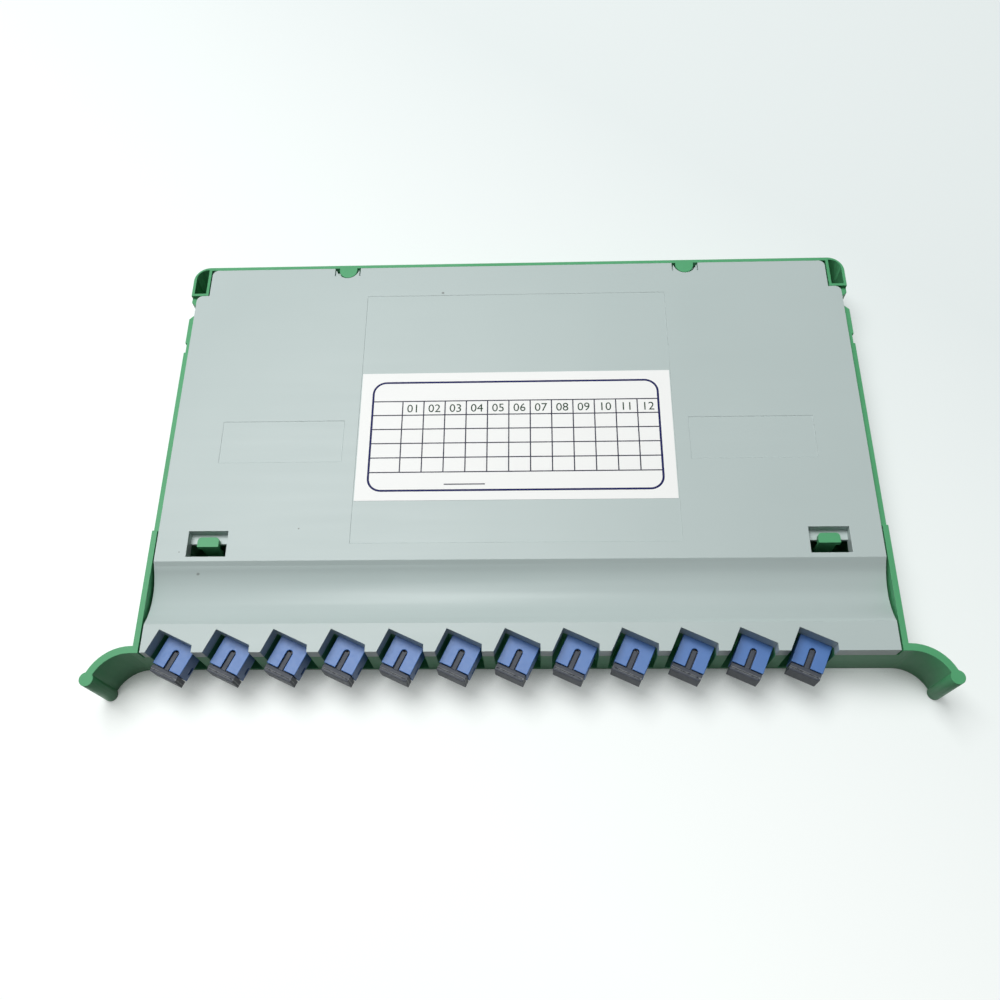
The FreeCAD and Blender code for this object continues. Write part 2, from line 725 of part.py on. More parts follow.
def build_adapter(index):
    """SC adapter housing: flange at mid-length, a plug bay at each end and key slots on top."""
    body = new_body(f"adapter_{index + 1:02d}")
    place_at_port(body, index)
    name = body.Name
    pad(centred(sketch_on(body, f"{name}_housing", "XZ_Plane"), "adapter_width", "adapter_height"),
        "adapter_length", midplane=True)
    pad(centred(sketch_on(body, f"{name}_flange", "XZ_Plane"), "flange_width", "adapter_height"),
        "flange_thickness", midplane=True)
    bore = regular_polygon(sketch_on(body, f"{name}_bore", "XZ_Plane"), "holder_bore / 2 + holder_wall + fit")
    pocket(bore, "adapter_length", midplane=True)
    bay = centred(sketch_on(body, f"{name}_bay", "XZ_Plane", level="adapter_length / 2"), "bay_width",
                  "bay_height")
    slot_middle = "(slot_length - adapter_length / 2 - slot_width / 2)"
    turns = [f"{side} * 180 / slot_sides" for side in range(int(SIZES["slot_sides"]) + 1)]
    slot_end = [(f"slot_width / 2 * cos({turn})", f"{slot_middle} + slot_width / 2 * sin({turn})")
                for turn in turns]
    slot = polygon(
        sketch_on(body, f"{name}_slot", level="adapter_height / 2"),
        ("-1 * slot_width / 2", "-1 * adapter_length / 2"),
        ("slot_width / 2", "-1 * adapter_length / 2"),
        *slot_end,
    )
    vent_middle = "(vent_back - adapter_length / 2)"
    vent = rectangle(
        sketch_on(body, f"{name}_vent", "YZ_Plane"),
        f"{vent_middle} - vent_length / 2", f"{vent_middle} + vent_length / 2",
        "-1 * bay_height / 2", "vent_height - bay_height / 2",
    )
    front_half = [
        pocket(bay, "bay_depth"),
        pocket(slot, "adapter_height / 2"),
        pocket(vent, "adapter_width", midplane=True),
    ]
    mirror = body.newObject("PartDesign::Mirrored", f"{name}_rear_half")
    mirror.Originals = front_half
    mirror.MirrorPlane = (base_plane(body, "XZ_Plane"), [""])
    body.Tip = mirror
    return finish(body)


def build_dust_cap(index):
    """Dust cap: a stepped grip head, a hollow plug for the bay and a key for the slot."""
    body = new_body(f"dust_cap_{index + 1:02d}")
    place_at_port(body, index)
    name = body.Name
    seat = "(adapter_length / 2 + cap_gap)"
    plug_width = "(bay_width - 2 * fit)"
    plug_height = "(bay_height - 2 * fit)"
    pad(centred(sketch_on(body, f"{name}_head", "XZ_Plane", level=seat), "cap_width", "cap_height"),
        "cap_thickness")
    pad(centred(sketch_on(body, f"{name}_plug", "XZ_Plane", level=seat), plug_width, plug_height),
        "cap_plug", reverse=True)
    key = rectangle(sketch_on(body, f"{name}_key", "XZ_Plane", level=seat), "-1 * key_width / 2",
                    "key_width / 2", "0", "adapter_height / 2 - key_drop")
    pad(key, "cap_plug", reverse=True)
    hollow = centred(sketch_on(body, f"{name}_hollow", "XZ_Plane", level=seat),
                     f"({plug_width} - 2 * cap_wall)", f"({plug_height} - 2 * cap_wall)")
    pocket(hollow, "cap_plug")
    step = rectangle(
        sketch_on(body, f"{name}_step", level="cap_height / 2"),
        "-1 * cap_width / 2", "cap_width / 2 - cap_notch",
        f"-1 * {seat} - cap_thickness", f"-1 * {seat} - cap_thickness + cap_step_width",
    )
    pocket(step, "cap_step_depth")
    return finish(body)


def port_placement(sheet, index):
    """The same place as place_at_port, for shapes that code copies."""
    tilt = math.radians(sheet.port_tilt)
    across = sheet.adapter_inset + sheet.adapter_width / 2
    along = sheet.seat_wall + sheet.fit + sheet.flange_thickness / 2
    notch_y = sheet.front_face + sheet.notch_length * math.cos(tilt)
    spot = FreeCAD.Vector(
        sheet.first_port + index * sheet.port_pitch + across * math.cos(tilt) + along * math.sin(tilt),
        notch_y - across * math.sin(tilt) + along * math.cos(tilt),
        sheet.port_height,
    )
    return FreeCAD.Placement(spot, FreeCAD.Rotation(FreeCAD.Vector(0, 0, 1), -sheet.port_tilt))


def copies_at_ports(sheet, label, solid):
    """One node that holds a copy of a solid, drawn in the adapter's frame, at every port."""
    group = DOC.addObject("Part::Feature", label)
    group.Label = label
    places = [port_placement(sheet, index) for index in range(int(sheet.port_count))]
    group.Shape = Part.makeCompound([solid.transformed(place.toMatrix()) for place in places])
    return group


def bar(sheet, radius, length):
    """Many-sided bar along Y, centred on the origin."""
    sides = int(sheet.tube_sides)
    turns = [2 * math.pi * side / sides for side in range(sides + 1)]
    ring = [FreeCAD.Vector(radius * math.cos(turn), -length / 2, radius * math.sin(turn)) for turn in turns]
    return Part.Face(Part.makePolygon(ring)).extrude(FreeCAD.Vector(0, length, 0))


def block_between(low, high):
    return Part.makeBox(*(b - a for a, b in zip(low, high)), FreeCAD.Vector(*low))


def sleeve_holder_shape(sheet):
    """Tube for the split sleeve with a plate in the front bay and a pair of plug latches on it."""
    bore = sheet.holder_bore / 2
    solid = bar(sheet, bore + sheet.holder_wall, sheet.holder_length)
    web = sheet.adapter_length / 2 - sheet.bay_depth
    half_width = sheet.bay_width / 2 - sheet.fit
    half_height = sheet.bay_height / 2 - sheet.fit
    for way in (-1, 1):
        root = sorted((way * web, way * (web + sheet.arm_plate)))
        plate = block_between((-half_width, root[0], -half_height), (half_width, root[1], half_height))
        solid = solid.fuse(plate)
        tip = way * (web + sheet.arm_plate + sheet.arm_length)
        arm_ends = sorted((way * web, tip))
        hook_ends = sorted((tip - way * sheet.arm_thickness, tip))
        for hand in (-1, 1):
            inner = sheet.arm_spread / 2 - sheet.arm_thickness
            spans = sorted((hand * inner, hand * sheet.arm_spread / 2))
            hooks = sorted((hand * (inner - sheet.arm_hook), hand * inner))
            rise = sheet.arm_height / 2
            arm = block_between((spans[0], arm_ends[0], -rise), (spans[1], arm_ends[1], rise))
            hook = block_between((hooks[0], hook_ends[0], -rise), (hooks[1], hook_ends[1], rise))
            solid = solid.fuse(arm.fuse(hook))
    return solid.cut(bar(sheet, bore, sheet.holder_length)).removeSplitter()


def split_sleeve_shape(sheet):
    """Split ceramic sleeve that lines up two ferrules."""
    half = sheet.sleeve_slit / 2
    outside = bar(sheet, sheet.sleeve_outer / 2, sheet.sleeve_length)
    whole = outside.cut(bar(sheet, sheet.sleeve_bore / 2, sheet.sleeve_length))
    slit = block_between((-half, -sheet.sleeve_length, 0), (half, sheet.sleeve_length, sheet.sleeve_outer))
    return whole.cut(slit)


def check(parts):
    """Stop when any object of the document failed or any sub-part has no valid solid."""
    for item in DOC.Objects:
        if "Invalid" in item.State or "Error" in item.State:
            raise RuntimeError(f"{item.Name} did not recompute")
    for part in parts:
        if part.Shape.isNull() or not part.Shape.isValid() or not part.Shape.Solids:
            raise RuntimeError(f"{part.Label} has no valid solid")


def main():
    sheet = make_sheet(DOC)
    count = int(sheet.port_count)
    parts = [build_tray(), build_cover(), build_label(), build_splice_holder()]
    parts += [build_adapter(index) for index in range(count)]
    caps = [build_dust_cap(index) for index in range(count)]
    DOC.recompute()
    cap = caps[0].Tip.Shape.copy()
    cap.rotate(FreeCAD.Vector(), FreeCAD.Vector(0, 0, 1), 180)
    parts += caps
    parts.append(copies_at_ports(sheet, "rear_dust_caps", cap))
    parts.append(copies_at_ports(sheet, "sleeve_holders", sleeve_holder_shape(sheet)))
    parts.append(copies_at_ports(sheet, "split_sleeves", split_sleeve_shape(sheet)))
    DOC.recompute()
    check(parts)
    os.makedirs("parts", exist_ok=True)
    for part in parts:
        part.Shape.exportStep(f"parts/{part.Label}.step")
        print(part.Label, len(part.Shape.Solids), round(part.Shape.Volume / 1000, 2), "cm3")


DOC = FreeCAD.newDocument("fibre_patch_panel")
main()
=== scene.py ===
# %% [markdown]
# # A fibre patch panel, dressed for its portrait
#
# The object is a slide-in tray for optical fibre: a green moulded tray, a grey clip-down cover with a paper
# label, and a slanted row of blue adapters with charcoal dust caps. The solids come ready-made as a fixed
# frame. This lesson gives them their finishes, softens their edges, prints the label and sets up the studio.

import math

import bpy
from mathutils import Matrix, Vector


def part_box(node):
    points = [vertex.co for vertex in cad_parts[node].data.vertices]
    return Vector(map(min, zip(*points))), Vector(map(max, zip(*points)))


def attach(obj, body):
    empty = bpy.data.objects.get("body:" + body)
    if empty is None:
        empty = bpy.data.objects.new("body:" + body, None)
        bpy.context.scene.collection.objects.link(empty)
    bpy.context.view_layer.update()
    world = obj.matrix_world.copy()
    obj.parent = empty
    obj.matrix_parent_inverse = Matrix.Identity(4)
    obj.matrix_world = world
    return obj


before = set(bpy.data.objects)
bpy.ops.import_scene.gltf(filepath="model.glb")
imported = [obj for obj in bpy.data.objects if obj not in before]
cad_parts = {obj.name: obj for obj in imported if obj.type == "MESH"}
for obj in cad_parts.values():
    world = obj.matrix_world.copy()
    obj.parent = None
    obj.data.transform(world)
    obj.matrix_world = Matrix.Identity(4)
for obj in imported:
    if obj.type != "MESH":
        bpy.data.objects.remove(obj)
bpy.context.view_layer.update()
scene = bpy.context.scene
MM = 0.001

# %% [markdown]
# ## The camera
#
# A photograph's viewpoint can be found by trial, or worked out from straight edges whose real size is known.
# Here it was worked out from the tray's outline, so the eye's place and the three turns are plain numbers:
# how far it looks down, how far it stands to one side, and how much it is rolled.

# %% Camera at the photograph's viewpoint
EYE = Vector((8.7, -207.7, 426.8)) * MM
LOOKS_DOWN = math.radians(65.17)
TURNED_ASIDE = math.radians(4.83)
ROLLED = math.radians(-4.89)
FOCAL_PIXELS = 983.2
IMAGE_PIXELS = 1000
SENSOR_MM = 36.0

back = Vector((
    math.sin(TURNED_ASIDE) * math.cos(LOOKS_DOWN),
    -math.cos(TURNED_ASIDE) * math.cos(LOOKS_DOWN),
    math.sin(LOOKS_DOWN),
))
level_right = Vector((math.cos(TURNED_ASIDE), math.sin(TURNED_ASIDE), 0))
level_up = back.cross(level_right)
right = math.cos(ROLLED) * level_right + math.sin(ROLLED) * level_up
up = back.cross(right)

camera_data = bpy.data.cameras.new("camera")
camera_data.sensor_width = SENSOR_MM
camera_data.lens = SENSOR_MM * FOCAL_PIXELS / IMAGE_PIXELS
camera = bpy.data.objects.new("camera", camera_data)
camera.matrix_world = Matrix.Translation(EYE) @ Matrix((right, up, back)).transposed().to_4x4()
scene.collection.objects.link(camera)
scene.camera = camera
print("lens", round(camera_data.lens, 1), "mm")

# %% [markdown]
# ## Shader maths as plain expressions
#
# Node trees are easy to draw and hard to read back. A small class that wraps one socket lets a finish be
# written as arithmetic: `1 - mask` adds a Math node. Every other kind of node comes from one method, `add`.


# %% A socket with arithmetic
class Wire:
    """One output socket of a node tree."""

    def __init__(self, socket):
        self.socket = socket

    @staticmethod
    def feed(target, value):
        """Set a socket to a plain value, or link a wire to it."""
        if isinstance(value, Wire):
            target.id_data.links.new(value.socket, target)
        else:
            target.default_value = value

    @classmethod
    def add(cls, tree, kind, settings=None, inputs=None, output=0):
        """Add a node: its settings come first, then the values or links of its sockets."""
        node = tree.nodes.new(kind)
        for name, value in (settings or {}).items():
            if name == "stops":
                cls.set_stops(node.color_ramp, value)
            else:
                setattr(node, name, value)
        for name, value in (inputs or {}).items():
            cls.feed(node.inputs[name], value)
        return cls(node.outputs[output])

    @staticmethod
    def set_stops(ramp, stops):
        """Give a ramp its stops: pairs of a place and a grey value."""
        while len(ramp.elements) < len(stops):
            ramp.elements.new(0.5)
        for element, (place, value) in zip(ramp.elements, stops):
            element.position = place
            element.color = (value, value, value, 1)

    def beside(self, output):
        """Another output of the same node."""
        return Wire(self.socket.node.outputs[output])

    def maths(self, operation, first, second):
        """A Math node in the same tree."""
        tree = self.socket.id_data
        return Wire.add(tree, "ShaderNodeMath", {"operation": operation}, {0: first, 1: second})

    def __add__(self, other):
        return self.maths("ADD", self, other)

    def __radd__(self, other):
        return self.maths("ADD", other, self)

    def __sub__(self, other):
        return self.maths("SUBTRACT", self, other)

    def __rsub__(self, other):
        return self.maths("SUBTRACT", other, self)

    def __mul__(self, other):
        return self.maths("MULTIPLY", self, other)

    def __rmul__(self, other):
        return self.maths("MULTIPLY", other, self)

    def clamped(self):
        """The same value, held between nought and one."""
        return Wire.add(self.socket.id_data, "ShaderNodeClamp", None, {"Value": self})


print("Wire offers", [name for name in vars(Wire) if not name.startswith("_")])

# %% [markdown]
# ## A bench for finishes
#
# All the mouldings share a way of working: start a material, read the place on the object in metres, and
# look up noise at a real size. Reading places in metres keeps grain and stains the same size on every piece.


# %% Starting a material and looking up noise
def start_finish(name, **fixed):
    """A new material: its tree, its shader node and the place on the object, with fixed sockets set."""
    material = bpy.data.materials.new(name)
    material.use_nodes = True
    tree = material.node_tree
    shader = tree.nodes["Principled BSDF"]
    for socket, value in fixed.items():
        shader.inputs[socket.replace("_", " ")].default_value = value
    place = Wire.add(tree, "ShaderNodeTexCoord", output="Object")
    return material, tree, shader, place


def noise(tree, place, size_mm, detail=2.0):
    """Soft noise around 0.5 whose blobs are about so many millimetres wide."""
    scale = 1 / (size_mm * MM)
    return Wire.add(tree, "ShaderNodeTexNoise", None, {"Vector": place, "Scale": scale, "Detail": detail})


def streaks(tree, place, length_mm, width_mm):
    """Noise pulled out along x, for flow lines and wiping marks."""
    scales = tuple(1 / (size * MM) for size in (length_mm, width_mm, width_mm))
    pulled = Wire.add(tree, "ShaderNodeVectorMath", {"operation": "MULTIPLY"}, {0: place, 1: scales})
    return Wire.add(tree, "ShaderNodeTexNoise", None, {"Vector": pulled, "Scale": 1.0, "Detail": 3.0})


def ramp(tree, value, low, high):
    """Nought below low, one above high, and a straight slope between them."""
    return Wire.add(tree, "ShaderNodeValToRGB", {"stops": [(low, 0.0), (high, 1.0)]}, {"Fac": value})


def blend(tree, factor, first, second):
    """Mix two colours."""
    return Wire.add(tree, "ShaderNodeMix", {"data_type": "RGBA"}, {0: factor, 6: first, 7: second}, output=2)


def rough_up(tree, shader, height, depth_mm):
    """Feed a height, through a Bump node, to the shader's normal."""
    inputs = {"Height": height, "Strength": 1.0, "Distance": depth_mm * MM}
    bump = Wire.add(tree, "ShaderNodeBump", None, inputs)
    Wire.feed(shader.inputs["Normal"], bump)


def colour(red, green, blue):
    """An opaque colour, in linear light."""
    return (red, green, blue, 1.0)


print("finish bench ready")

# %% [markdown]
# ## Edges
#
# No moulding has a knife edge: the mould's corners are worn round, and that thin round catches the light.
# The solids arrive with sharp edges and split faces, so each gets three modifiers: weld the split corners,
# merge flat triangles, then bevel what is still a corner. The bevel's overlap clamp stays off, because it
# would shrink every bevel to suit the shortest edge. The mesh data stays as it came.


# %% Rounding the edges of a node
WELD_MM = 0.002
FLAT_ANGLE = math.radians(1.0)
CORNER_ANGLE = math.radians(35)
BEVEL_STEPS = 2


def soften(name, width_mm):
    """Weld, flatten and bevel a node, by modifiers alone."""
    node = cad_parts[name]
    weld = node.modifiers.new("weld", "WELD")
    weld.merge_threshold = WELD_MM * MM
    flat = node.modifiers.new("flat", "DECIMATE")
    flat.decimate_type = "DISSOLVE"
    flat.angle_limit = FLAT_ANGLE
    bevel = node.modifiers.new("bevel", "BEVEL")
    bevel.width = width_mm * MM
    bevel.segments = BEVEL_STEPS
    bevel.limit_method = "ANGLE"
    bevel.angle_limit = CORNER_ANGLE
    bevel.use_clamp_overlap = False
    bevel.harden_normals = True


PORTS = sorted(name[-2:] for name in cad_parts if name.startswith("adapter_"))
ADAPTERS = [f"adapter_{port}" for port in PORTS]
CAPS = [f"dust_cap_{port}" for port in PORTS]
SOFT_MM = {"tray": 0.15, "cover": 0.15, "splice_holder": 0.25}
SOFT_MM.update(dict.fromkeys(ADAPTERS, 0.3))
SOFT_MM.update(dict.fromkeys(CAPS, 0.25))
for name, width_mm in SOFT_MM.items():
    soften(name, width_mm)
print("softened", len(SOFT_MM), "nodes")

# %% [markdown]
# ## Green tray
#
# The tray is moulded ABS with a satin skin. Its colour is even, a little paler where the skin is rubbed. The
# finish is a deep green with a soft cloudiness, fine grain in the bump and faint wiping marks in the gloss.


# %% Green ABS
def dress(finish, *names):
    """Give nodes a finish, in place of what they came with."""
    for name in names:
        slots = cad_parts[name].data.materials
        slots.clear()
        slots.append(finish)
    print(finish.name, "on", len(names), "of the nodes")


def green_abs():
    material, tree, shader, place = start_finish("green_abs", IOR=1.5, Specular_IOR_Level=0.15)
    cloud = noise(tree, place, 35, 3)
    rubbed = ramp(tree, noise(tree, place, 6, 5), 0.58, 0.8)
    body = blend(tree, cloud, colour(0.076, 0.33, 0.142), colour(0.108, 0.41, 0.198))
    Wire.feed(shader.inputs["Base Color"], blend(tree, rubbed * 0.35, body, colour(0.12, 0.42, 0.21)))
    wiped = streaks(tree, place, 40, 1.5)
    Wire.feed(shader.inputs["Roughness"], 0.30 + 0.14 * wiped + 0.05 * rubbed)
    rough_up(tree, shader, noise(tree, place, 0.5, 2) + 0.6 * noise(tree, place, 3, 2), 0.012)
    return material


dress(green_abs(), "tray")

# %% [markdown]
# ## Grey cover
#
# The cover's mould was spark-eroded, which leaves an even, fine grain and a soft sheen. A few specks of dust
# lie on it. Specks could be little meshes, but at a millimetre or two a dark spot in the colour is enough:
# each is a place and a radius, measured as a distance and turned into a soft-edged mask.

# %% Grey ABS with a few specks
SPECKS = {
    "rear": ((-35.8, 89.0, 28.8), 0.55),
    "trough": ((-139.5, -57.2, 25.4), 0.62),
    "front_left": ((-96.1, -37.3, 28.8), 0.32),
    "by_window": ((-148.3, -48.1, 28.8), 0.26),
}


def speck_mask(tree, place, spots):
    """One inside any of the spots, falling to nought at its rim, with a ragged outline."""
    ragged = noise(tree, place, 0.6, 2)
    mask = None
    for centre, radius in spots:
        away = Wire.add(tree, "ShaderNodeVectorMath", {"operation": "DISTANCE"},
                        {0: place, 1: tuple(value * MM for value in centre)}, output="Value")
        spot = (1.6 - away * (1 / (radius * MM)) * (0.6 + 0.9 * ragged)).clamped()
        mask = spot if mask is None else (mask + spot).clamped()
    return mask


def grey_abs():
    material, tree, shader, place = start_finish("grey_abs", IOR=1.48, Specular_IOR_Level=0.32)
    cloud = noise(tree, place, 60, 2)
    body = blend(tree, cloud, colour(0.450, 0.533, 0.522), colour(0.493, 0.576, 0.564))
    dirt = speck_mask(tree, place, SPECKS.values())
    Wire.feed(shader.inputs["Base Color"], blend(tree, dirt * 0.75, body, colour(0.12, 0.12, 0.11)))
    wiped = streaks(tree, place, 70, 4)
    Wire.feed(shader.inputs["Roughness"], 0.30 + 0.12 * wiped)
    rough_up(tree, shader, noise(tree, place, 0.35, 2) + 0.5 * noise(tree, place, 25, 2), 0.010)
    return material


dress(grey_abs(), "cover")
print("cover has", len(SPECKS), "specks")

# %% [markdown]
# ## Blue adapters and charcoal caps
#
# The adapters are hard, satin plastic with a faint swirl from the gate. The caps are soft plastic with a
# dull face and pale scuffs. A pale line along the grip's step is a painted highlight, where the step's edge
# would catch the light. All caps share one finish: the row repeats every port pitch, so wrapping x by that
# pitch puts each cap's head in one place, and a distance along the slanted port says how near the step is.


# %% Adapter and cap finishes
PORT_TILT = math.radians(-25)
PORT_PITCH_MM = 24.6
HEAD_X_MM, HEAD_Y_MM = -150.08, -100.75
# Width of the painted highlight along each cap's step.
STEP_HIGHLIGHT_MM = 0.45


def blue_plastic():
    material, tree, shader, place = start_finish("adapter_blue", IOR=1.52)
    swirl = noise(tree, place, 7, 4)
    body = blend(tree, swirl, colour(0.042, 0.135, 0.39), colour(0.066, 0.185, 0.475))
    Wire.feed(shader.inputs["Base Color"], body)
    Wire.feed(shader.inputs["Roughness"], 0.36 + 0.16 * noise(tree, place, 1.4, 3))
    rough_up(tree, shader, noise(tree, place, 0.4, 2) + 0.8 * swirl, 0.012)
    return material


def painted_step_highlight(tree, place):
    """Painted highlight: one on the step of each cap's grip, nought at the highlight's width, broken up by
    noise.
    """
    x = Wire.add(tree, "ShaderNodeSeparateXYZ", None, {"Vector": place}, output="X")
    half = PORT_PITCH_MM * MM / 2
    ends = {0: x - HEAD_X_MM * MM, 1: half, 2: -half}
    wrapped = Wire.add(tree, "ShaderNodeMath", {"operation": "WRAP"}, ends)
    ahead = wrapped * math.sin(PORT_TILT) - (x.beside("Y") - HEAD_Y_MM * MM) * math.cos(PORT_TILT)
    away = Wire.add(tree, "ShaderNodeMath", {"operation": "ABSOLUTE"}, {0: ahead})
    near = (1 - away * (1 / (STEP_HIGHLIGHT_MM * MM))).clamped()
    return near * ramp(tree, noise(tree, place, 1.6, 3), 0.3, 0.52)


def charcoal_plastic():
    material, tree, shader, place = start_finish("cap_charcoal", IOR=1.5, Specular_IOR_Level=0.25)
    scuffs = ramp(tree, streaks(tree, place, 3.5, 0.25), 0.56, 0.74)
    body = blend(tree, noise(tree, place, 4, 3), colour(0.034, 0.040, 0.055), colour(0.062, 0.072, 0.092))
    scuffed = blend(tree, scuffs * 0.4, body, colour(0.14, 0.15, 0.17))
    # Painted highlight: a pale line on each cap's step, where the edge would catch the light.
    highlighted = blend(tree, painted_step_highlight(tree, place) * 0.8, scuffed, colour(0.36, 0.38, 0.39))
    Wire.feed(shader.inputs["Base Color"], highlighted)
    Wire.feed(shader.inputs["Roughness"], 0.42 + 0.18 * noise(tree, place, 2, 3))
    rough_up(tree, shader, noise(tree, place, 0.3, 2) + 0.4 * scuffs, 0.02)
    return material


dress(blue_plastic(), *ADAPTERS)
dress(charcoal_plastic(), *CAPS, "rear_dust_caps")

# %% [markdown]
# ## Inner pieces
#
# Under the cover lie the splice comb, the sleeve holders with their latches and the white ceramic sleeves.
# They show only when the cover is up or a cap is out, but each still gets its own finish.


# %% Comb, latches and ceramic
def inner_plastic(name, dark, pale, roughness):
    material, tree, shader, place = start_finish(name, IOR=1.5)
    Wire.feed(shader.inputs["Base Color"], blend(tree, noise(tree, place, 8, 3), dark, pale))
    Wire.feed(shader.inputs["Roughness"], roughness + 0.12 * noise(tree, place, 2, 3))
    rough_up(tree, shader, noise(tree, place, 0.4, 2), 0.01)
    return material


comb_grey = inner_plastic("comb_grey", colour(0.46, 0.48, 0.48), colour(0.54, 0.56, 0.56), 0.4)
latch_ivory = inner_plastic("latch_ivory", colour(0.66, 0.64, 0.57), colour(0.74, 0.72, 0.66), 0.38)
ceramic_white = inner_plastic("ceramic_white", colour(0.84, 0.84, 0.81), colour(0.89, 0.89, 0.87), 0.12)
dress(comb_grey, "splice_holder")
dress(latch_ivory, "sleeve_holders")
dress(ceramic_white, "split_sleeves")

# %% [markdown]
# ## Paper label
#
# The label is coated paper. The table on it could be painted by shader masks, but thin lines stay crisp from
# any distance when they are geometry, so the ink is laid on as very thin pieces that ride with the cover.

# %% Paper and ink
INK_MM = 0.02
LABEL_LOW, LABEL_HIGH = (Vector(corner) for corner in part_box("label"))


def paper():
    material, tree, shader, place = start_finish("paper", IOR=1.45)
    fibres = streaks(tree, place, 2.5, 0.4) * noise(tree, place, 1.2, 3)
    cloud = noise(tree, place, 30, 2)
    body = blend(tree, cloud, colour(0.89, 0.905, 0.89), colour(0.93, 0.94, 0.925))
    Wire.feed(shader.inputs["Base Color"], body)
    Wire.feed(shader.inputs["Roughness"], 0.5 + 0.2 * fibres)
    rough_up(tree, shader, fibres + 0.7 * cloud, 0.015)
    return material


def ink(name, dark, pale):
    """Offset ink: a flat colour that thins a little where the paper's grain stands up."""
    material, tree, shader, place = start_finish(name, IOR=1.45, Specular_IOR_Level=0.12)
    thin = ramp(tree, noise(tree, place, 0.5, 3), 0.45, 0.75)
    Wire.feed(shader.inputs["Base Color"], blend(tree, thin * 0.6, dark, pale))
    Wire.feed(shader.inputs["Roughness"], 0.45 + 0.15 * thin)
    return material


dress(paper(), "label")
navy = ink("ink_navy", colour(0.009, 0.011, 0.085), colour(0.02, 0.025, 0.13))
slate = ink("ink_slate", colour(0.025, 0.025, 0.050), colour(0.07, 0.07, 0.11))
leaf = ink("ink_green", colour(0.008, 0.035, 0.015), colour(0.03, 0.07, 0.04))
print("label", [round(side / MM, 1) for side in LABEL_HIGH - LABEL_LOW], "mm")

# %% [markdown]
# ## The printed table
#
# The table is a heavy border with round corners, a grid of thin lines, a row of port numbers and one line to
# write on. The border is a strip between two rounded rectangles. The grid is a lattice: cut the table at
# both edges of every line, and keep the cells that lie on a line. That leaves no overlapping faces.

# %% Helpers for flat print
TABLE_LEFT, TABLE_RIGHT = -67.3, 67.0
TABLE_LOW, TABLE_HIGH = -19.6, 37.9
BORDER_MM = 1.0
CORNER_MM = 6.6
CORNER_STEPS = 10
LINE_MM = 0.55


def print_piece(name, corners, faces, finish):
    """A thin layer of ink on the label from flat outlines in millimetres; it rides with the cover."""
    mesh = bpy.data.meshes.new(name)
    top = LABEL_HIGH.z + INK_MM * MM
    mesh.from_pydata([(x * MM, y * MM, top) for x, y in corners], [], faces)
    mesh.materials.append(finish)
    piece = bpy.data.objects.new(name, mesh)
    scene.collection.objects.link(piece)
    layer = piece.modifiers.new("layer", "SOLIDIFY")
    layer.thickness = INK_MM * MM
    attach(piece, "cover_body")
    print(name, len(faces), "faces")


def rounded_outline(inset):
    """Corners of the table's rounded rectangle, moved inwards by inset."""
    radius = CORNER_MM - inset
    centres = [
        (TABLE_RIGHT - CORNER_MM, TABLE_HIGH - CORNER_MM),
        (TABLE_LEFT + CORNER_MM, TABLE_HIGH - CORNER_MM),
        (TABLE_LEFT + CORNER_MM, TABLE_LOW + CORNER_MM),
        (TABLE_RIGHT - CORNER_MM, TABLE_LOW + CORNER_MM),
    ]
    outline = []
    for quarter, (x, y) in enumerate(centres):
        for step in range(CORNER_STEPS + 1):
            turn = math.pi / 2 * (quarter + step / CORNER_STEPS)
            outline.append((x + radius * math.cos(turn), y + radius * math.sin(turn)))
    return outline


print("table", round(TABLE_RIGHT - TABLE_LEFT, 1), "by", round(TABLE_HIGH - TABLE_LOW, 1), "mm")

# %% Border
outer = rounded_outline(0.0)
inner = rounded_outline(BORDER_MM)
count = len(outer)
strip = [(i, (i + 1) % count, count + (i + 1) % count, count + i) for i in range(count)]
print_piece("label_border", outer + inner, strip, navy)

# %% Grid and writing line
ROW_TOP, ROW_PITCH, ROWS = 27.2, 7.42, 5
COLUMN_LEFT, COLUMN_PITCH = -52.7, 9.94
rows = [ROW_TOP - ROW_PITCH * row for row in range(ROWS + 1)]
columns = [COLUMN_LEFT + COLUMN_PITCH * column for column in range(len(PORTS))]


def cuts(middles, low, high):
    """Both edges of every line, with the ends of the table, from low to high."""
    edges = [middle + side * LINE_MM / 2 for middle in middles for side in (-1, 1)]
    return sorted({low, high, *edges})


def on_line(low, high, middles):
    """Whether the strip from low to high lies on one of the lines."""
    return any(abs((low + high) / 2 - middle) < LINE_MM / 2 for middle in middles)


def lattice():
    """Corners and faces of the grid's lines, without the open cells."""
    xs = cuts(columns, TABLE_LEFT + BORDER_MM, TABLE_RIGHT - BORDER_MM)
    ys = cuts(rows, rows[-1] - LINE_MM / 2, rows[0] + LINE_MM / 2)
    corners = [(x, y) for y in ys for x in xs]
    width = len(xs)
    faces = []
    for j in range(len(ys) - 1):
        for i in range(width - 1):
            if on_line(xs[i], xs[i + 1], columns) or on_line(ys[j], ys[j + 1], rows):
                first = j * width + i
                faces.append((first, first + 1, first + width + 1, first + width))
    used = sorted({index for face in faces for index in face})
    renumbered = {index: number for number, index in enumerate(used)}
    faces = [tuple(renumbered[index] for index in face) for face in faces]
    return [corners[index] for index in used], faces


print_piece("label_grid", *lattice(), slate)
WRITE_LEFT, WRITE_RIGHT, WRITE_Y = -32.3, -13.7, -16.1
low, high = WRITE_Y - LINE_MM / 2, WRITE_Y + LINE_MM / 2
write_corners = [(WRITE_LEFT, low), (WRITE_RIGHT, low), (WRITE_RIGHT, high), (WRITE_LEFT, high)]
print_piece("label_writing_line", write_corners, [(0, 1, 2, 3)], slate)

# %% [markdown]
# ## Port numbers
#
# Numbers come from Blender's own text object. Turned into meshes and joined, the row is a single piece.


